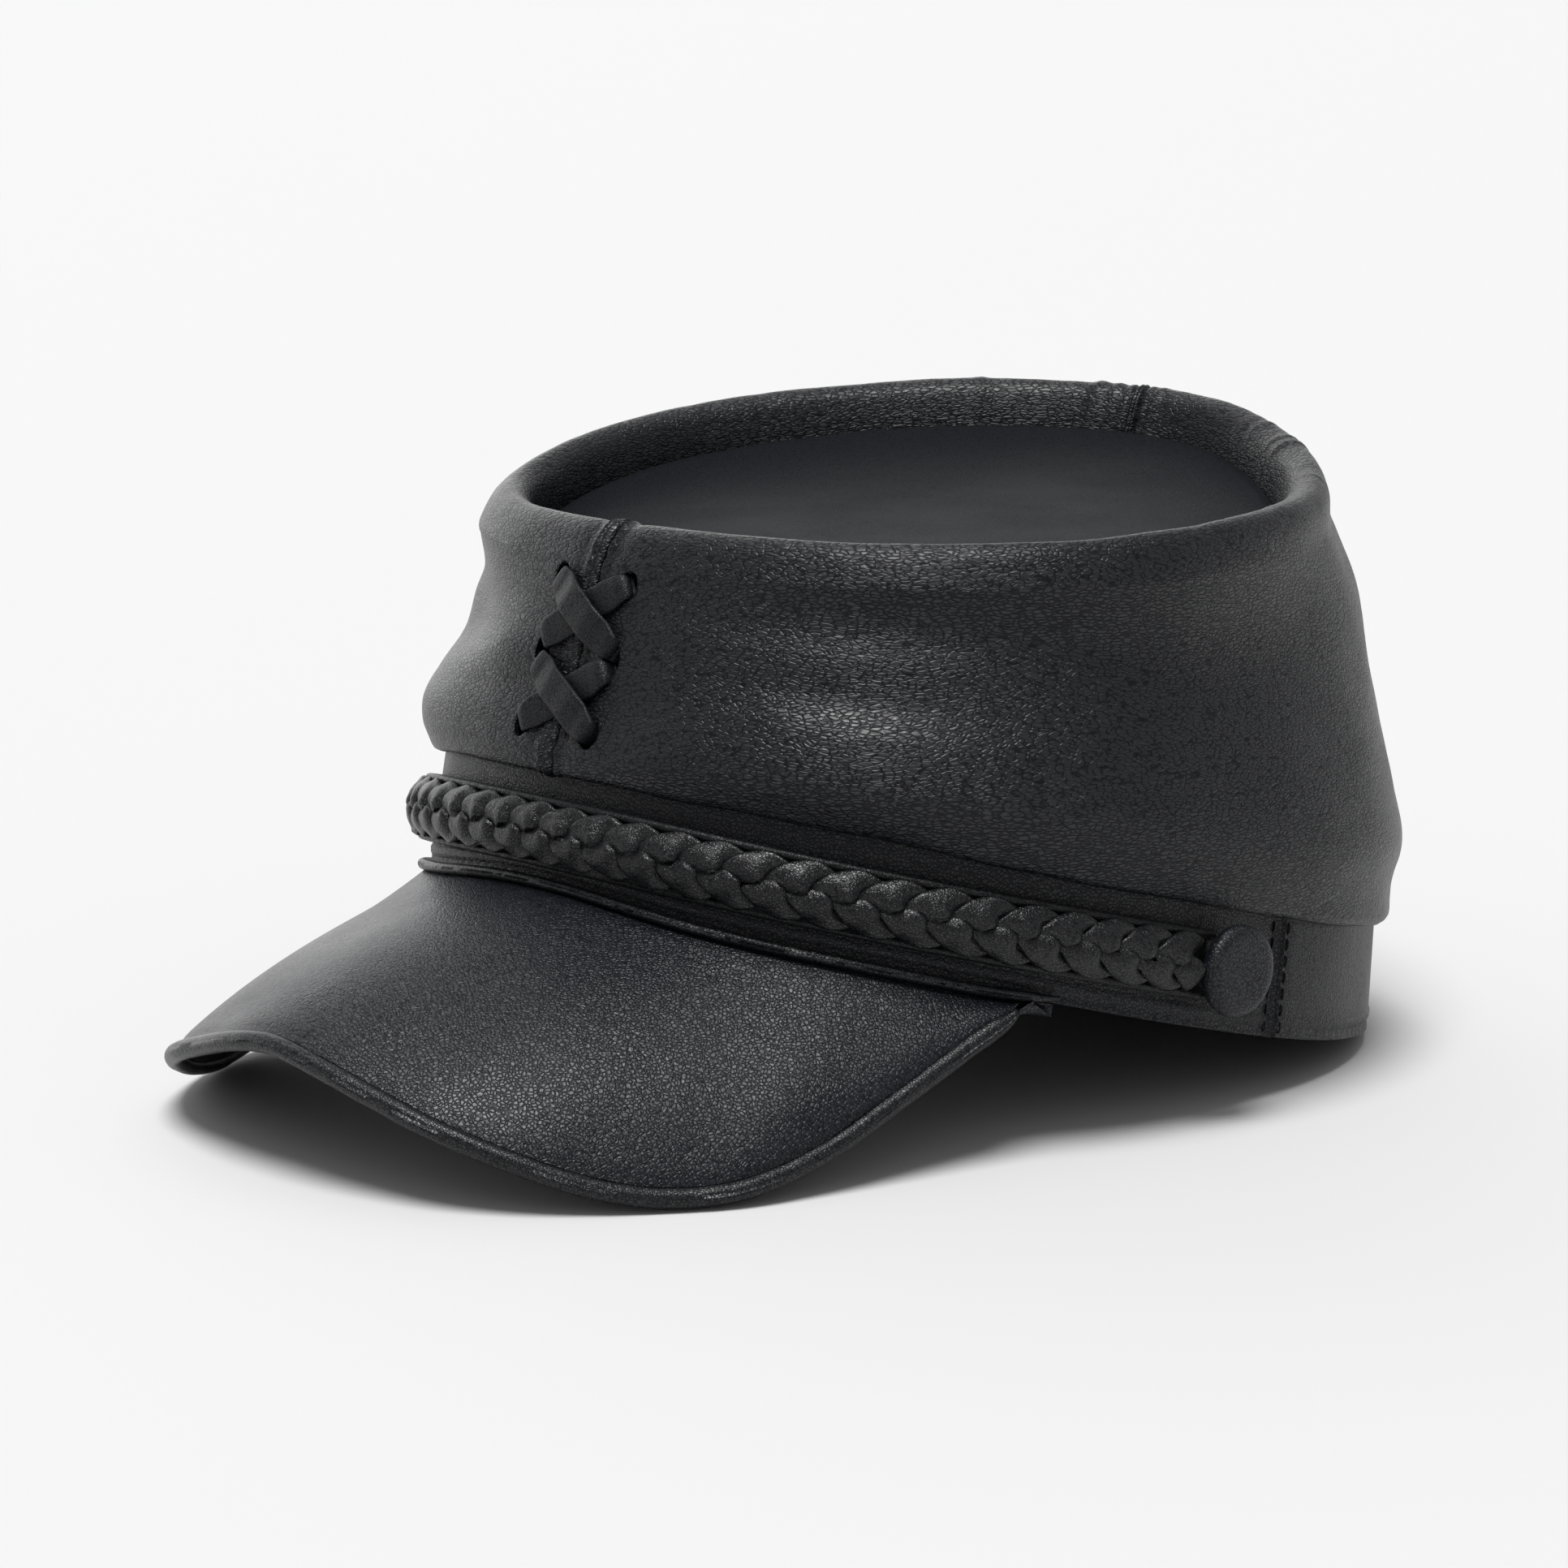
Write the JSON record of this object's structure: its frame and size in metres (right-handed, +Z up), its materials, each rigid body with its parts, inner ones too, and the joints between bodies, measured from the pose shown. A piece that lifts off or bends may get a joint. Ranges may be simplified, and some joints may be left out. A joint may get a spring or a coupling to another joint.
{
  "type": "leather kepi",
  "caption": "Black leather peaked cap with a sunk flat top, soft sloping crown, laced front seam, plaited strap between side buttons and a curved, bound peak.",
  "frame": {"origin": "middle of the bounding box in plan, on the surface that the cap rests on", "axes": "+Z up, peak towards -Y, wearer's left towards +X; the cap rests on the corners of its peak and the back of its band"},
  "size_m": [0.1988, 0.2744, 0.1311],
  "materials": {
    "crown_leather": "fine pebbled grain, semi-matt",
    "top_leather": "smooth, matt",
    "band_leather": "fine grain, semi-matt",
    "strap_leather": "semi-matt, burnished edges",
    "plait_leather": "soft, slightly glossy",
    "button_leather": "smooth, semi-matt",
    "peak_leather": "pebbled grain, slightly glossy",
    "binding_leather": "semi-matt, worn edges",
    "lace_leather": "semi-matt thong"
  },
  "bodies": {
    "root": {"side_panel_left": "crown_leather", "side_panel_right": "crown_leather", "top_panel": "top_leather", "band_front": "band_leather", "band_rear": "band_leather", "strap_base": "strap_leather", "plait_strand_a": "plait_leather", "plait_strand_b": "plait_leather", "plait_strand_c": "plait_leather", "side_button_left": "button_leather", "side_button_right": "button_leather", "peak": "peak_leather", "peak_binding": "binding_leather", "peak_welt": "binding_leather", "lace_over_upper": "lace_leather", "lace_under_upper": "lace_leather", "lace_over_lower": "lace_leather", "lace_under_lower": "lace_leather"}
  },
  "joints": []
}
